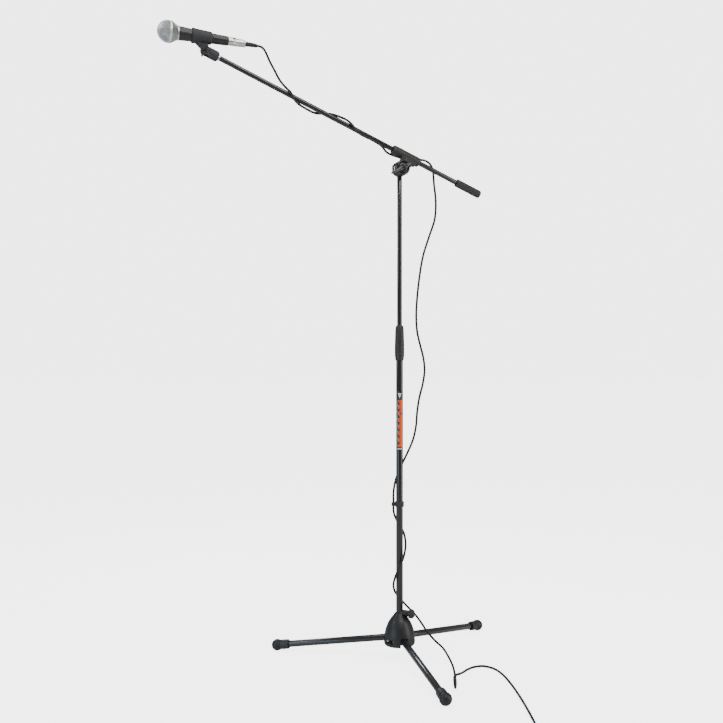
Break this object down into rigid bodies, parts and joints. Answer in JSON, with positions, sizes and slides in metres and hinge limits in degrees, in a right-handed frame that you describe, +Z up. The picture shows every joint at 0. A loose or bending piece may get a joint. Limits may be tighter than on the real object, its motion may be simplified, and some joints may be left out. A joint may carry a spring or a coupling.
{
  "type": "boom microphone stand",
  "caption": "Floor-standing microphone stand with a folding tripod base, telescopic mast and tilting boom, holding a handheld microphone in a clip, with its cable.",
  "frame": {"origin": "middle of the stand's footprint at floor level, measured without the cable and its far plug", "axes": "+Z up; the boom carries the microphone towards -X and slightly -Y; the wing handle of the tilt clutch faces -Y"},
  "size_m": [1.0079, 0.8251, 1.5549],
  "materials": {
    "black_paint": "glossy black powder coat on steel tube",
    "satin_black": "satin black coat on cast metal",
    "warm_plastic": "dark warm grey moulded plastic, fine grain",
    "black_plastic": "black moulded plastic",
    "black_rubber": "black rubber",
    "nickel": "satin nickel plating",
    "steel": "zinc plated steel",
    "brass": "plain brass",
    "grille_steel": "painted steel mesh",
    "mic_paint": "dark grey-green satin enamel",
    "cable_jacket": "black flexible jacket"
  },
  "bodies": {
    "base": {"hub_housing": "satin_black", "leg_pin_front": "steel", "leg_pin_right": "steel", "leg_pin_left": "steel", "cable_mast_wrap": "cable_jacket", "cable_floor_run": "cable_jacket", "cable_coil": "cable_jacket", "cable_tie": "black_plastic", "cable_tail": "cable_jacket", "plug_boot": "black_rubber", "plug_shell": "nickel", "plug_contact_pins": "brass"},
    "hub_knob": {"hub_knob": "black_plastic", "hub_clamp_screw": "steel"},
    "leg_front": {"leg_knuckle_front": "black_plastic", "leg_tube_front": "black_paint", "leg_foot_front": "black_rubber"},
    "leg_right": {"leg_knuckle_right": "black_plastic", "leg_tube_right": "black_paint", "leg_foot_right": "black_rubber"},
    "leg_left": {"leg_knuckle_left": "black_plastic", "leg_tube_left": "black_paint", "leg_foot_left": "black_rubber"},
    "lower_mast": {"mast_foot_cap": "black_plastic", "lower_mast_tube": "black_paint", "mast_cable_clip": "black_plastic", "height_collet": "black_plastic"},
    "height_grip": {"height_grip": "warm_plastic"},
    "mast_glide": {"mast_glide_bush": "black_plastic"},
    "upper_mast": {"upper_mast_tube": "black_paint", "clutch_fixed_half": "satin_black", "clutch_bolt": "steel", "clutch_washer": "black_rubber", "cable_drop": "cable_jacket"},
    "clutch_wing": {"clutch_wing": "satin_black"},
    "boom_clamp": {"boom_clamp": "warm_plastic", "cable_clamp_loop": "cable_jacket"},
    "boom_liner": {"boom_liner": "black_plastic"},
    "boom": {"boom_tube": "black_paint", "boom_rear_grip": "warm_plastic", "boom_counterweight": "steel", "boom_thread_insert": "nickel", "clip_base": "black_plastic", "clip_thread_insert": "brass", "clip_pivot_screw": "steel", "cable_boom_run": "cable_jacket"},
    "clip_barrel": {"clip_barrel": "black_plastic"},
    "mic": {"mic_grille": "grille_steel", "mic_collar_ring": "nickel", "mic_handle": "mic_paint", "mic_capsule": "steel", "mic_capsule_mount": "black_rubber", "mic_contact_pins": "brass"},
    "cable_connector": {"connector_shell": "nickel", "connector_insert": "black_plastic", "connector_boot": "black_rubber", "cable_lead": "cable_jacket"},
    "connector_latch": {"connector_latch": "black_plastic"}
  },
  "joints": [
    {"name": "leg_front_fold", "type": "hinge", "parent": "base", "child": "leg_front", "pos_m": [0.17057, 0.01053, 0.052], "axis": [0.9508, 0.3097, 0], "range_deg": [0, 80]},
    {"name": "leg_right_fold", "type": "hinge", "parent": "base", "child": "leg_right", "pos_m": [0.17955, 0.05289, 0.052], "axis": [-0.7436, 0.6686, 0], "range_deg": [0, 80]},
    {"name": "leg_left_fold", "type": "hinge", "parent": "base", "child": "leg_left", "pos_m": [0.13837, 0.03948, 0.052], "axis": [-0.2072, -0.9783, 0], "range_deg": [0, 80]},
    {"name": "hub_knob_turn", "type": "hinge", "parent": "base", "child": "hub_knob", "pos_m": [0.19365, 0.01993, 0.1195], "axis": [0.9063, -0.4226, 0], "range_deg": [0, 360]},
    {"name": "mast_in_hub_slide", "type": "slide", "parent": "base", "child": "lower_mast", "axis": [0, 0, 1], "range_m": [0, 0.04], "deforming": ["cable_mast_wrap", "cable_floor_run"]},
    {"name": "height_grip_turn", "type": "hinge", "parent": "lower_mast", "child": "height_grip", "pos_m": [0.16283, 0.0343, 0.812], "axis": [0, 0, 1], "range_deg": [0, 120]},
    {"name": "mast_height_slide", "type": "slide", "parent": "lower_mast", "child": "mast_glide", "axis": [0, 0, 1], "range_m": [-0.37, 0.2], "deforming": ["cable_drop"]},
    {"name": "mast_swivel", "type": "hinge", "parent": "mast_glide", "child": "upper_mast", "pos_m": [0.16283, 0.0343, 0.48], "axis": [0, 0, 1], "continuous": true, "deforming": ["cable_drop"]},
    {"name": "clutch_wing_turn", "type": "hinge", "parent": "upper_mast", "child": "clutch_wing", "pos_m": [0.17594, 0.00185, 1.2585], "axis": [0.3746, -0.9272, 0], "range_deg": [0, 150]},
    {"name": "boom_tilt", "type": "hinge", "parent": "upper_mast", "child": "boom_clamp", "pos_m": [0.16283, 0.0343, 1.2585], "axis": [0.3746, -0.9272, 0], "range_deg": [-65, 100], "deforming": ["cable_clamp_loop", "cable_drop"]},
    {"name": "boom_roll", "type": "hinge", "parent": "boom_clamp", "child": "boom_liner", "pos_m": [0.17872, 0.02993, 1.29117], "axis": [-0.8606, -0.3477, 0.3722], "range_deg": [-180, 180], "deforming": ["cable_boom_run", "cable_clamp_loop"]},
    {"name": "boom_length_slide", "type": "slide", "parent": "boom_liner", "child": "boom", "axis": [-0.8606, -0.3477, 0.3722], "range_m": [-0.12, 0.11], "deforming": ["cable_boom_run", "cable_clamp_loop"]},
    {"name": "mic_pitch", "type": "hinge", "parent": "boom", "child": "clip_barrel", "pos_m": [-0.29545, -0.16165, 1.49624], "axis": [0.3746, -0.9272, 0], "range_deg": [-25, 90], "deforming": ["cable_lead", "cable_boom_run"]},
    {"name": "mic_out_of_clip_slide", "type": "slide", "parent": "clip_barrel", "child": "mic", "axis": [-0.9268, -0.3745, 0.0286], "range_m": [0, 0.1], "deforming": ["cable_lead"]},
    {"name": "connector_unplug_slide", "type": "slide", "parent": "mic", "child": "cable_connector", "axis": [0.9268, 0.3745, -0.0286], "range_m": [0, 0.03], "deforming": ["cable_lead"]},
    {"name": "latch_press", "type": "slide", "parent": "cable_connector", "child": "connector_latch", "axis": [-0.0265, -0.0107, -0.9996], "range_m": [0, 0.0008], "stiffness_N_per_m": 1500}
  ]
}
